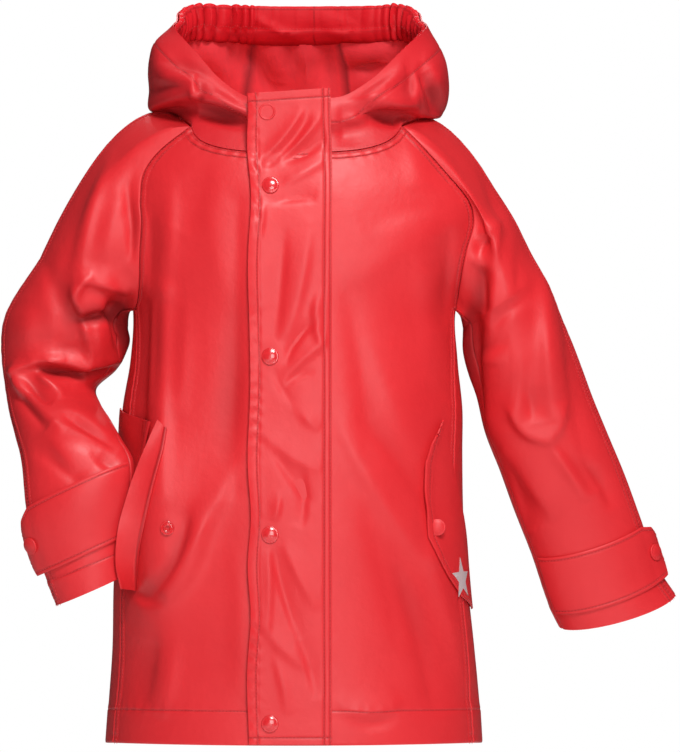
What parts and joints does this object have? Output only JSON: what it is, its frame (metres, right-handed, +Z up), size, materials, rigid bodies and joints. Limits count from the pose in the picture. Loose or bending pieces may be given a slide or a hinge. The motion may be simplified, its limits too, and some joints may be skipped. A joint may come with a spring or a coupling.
{
  "type": "kids rain jacket",
  "caption": "Child's hooded raglan rain jacket in coated cloth, filled out as worn, with a snapped storm flap, flap pockets and cuff tabs.",
  "frame": {"origin": "between the wearer's shoulders, level with the shoulder points, where the jacket is carried", "axes": "+Z up along the wearer's spine, -Y out of the chest, +X towards the wearer's left"},
  "size_m": [0.6086, 0.3102, 0.6819],
  "materials": {
    "front_right": "semi-gloss coated rain cloth",
    "front_left": "semi-gloss coated rain cloth",
    "back": "semi-gloss coated rain cloth",
    "sleeve_right_front": "semi-gloss coated rain cloth",
    "sleeve_right_back": "semi-gloss coated rain cloth",
    "sleeve_left_front": "semi-gloss coated rain cloth",
    "sleeve_left_back": "semi-gloss coated rain cloth",
    "hood_left": "semi-gloss coated rain cloth",
    "hood_center": "semi-gloss coated rain cloth",
    "hood_right": "semi-gloss coated rain cloth",
    "hood_lining_left": "matt woven lining",
    "hood_lining_center": "matt woven lining",
    "hood_lining_right": "matt woven lining",
    "hood_brim": "semi-gloss coated rain cloth",
    "storm_flap": "semi-gloss coated rain cloth",
    "snap_1": "gloss snap of dyed plastic",
    "snap_2": "gloss snap of dyed plastic",
    "snap_3": "gloss snap of dyed plastic",
    "snap_4": "gloss snap of dyed plastic",
    "snap_5": "gloss snap of dyed plastic",
    "pocket_edge_right": "semi-gloss coated rain cloth",
    "pocket_flap_right": "semi-gloss coated rain cloth",
    "pocket_flap_left": "semi-gloss coated rain cloth",
    "pocket_stud_right": "gloss snap of dyed plastic",
    "pocket_snap_left": "gloss snap of dyed plastic",
    "cuff_tab_right": "semi-gloss coated rain cloth",
    "cuff_tab_left": "semi-gloss coated rain cloth",
    "cuff_snap_right": "gloss snap of dyed plastic",
    "cuff_snap_left": "gloss snap of dyed plastic"
  },
  "bodies": {
    "root": {"front_right": "front_right", "front_left": "front_left", "back": "back", "sleeve_right_front": "sleeve_right_front", "sleeve_right_back": "sleeve_right_back", "sleeve_left_front": "sleeve_left_front", "sleeve_left_back": "sleeve_left_back", "hood_left": "hood_left", "hood_center": "hood_center", "hood_right": "hood_right", "hood_lining_left": "hood_lining_left", "hood_lining_center": "hood_lining_center", "hood_lining_right": "hood_lining_right", "hood_brim": "hood_brim", "storm_flap": "storm_flap", "snap_1": "snap_1", "snap_2": "snap_2", "snap_3": "snap_3", "snap_4": "snap_4", "snap_5": "snap_5", "pocket_edge_right": "pocket_edge_right", "pocket_flap_right": "pocket_flap_right", "pocket_flap_left": "pocket_flap_left", "pocket_stud_right": "pocket_stud_right", "pocket_snap_left": "pocket_snap_left", "cuff_tab_right": "cuff_tab_right", "cuff_tab_left": "cuff_tab_left", "cuff_snap_right": "cuff_snap_right", "cuff_snap_left": "cuff_snap_left"}
  },
  "joints": []
}
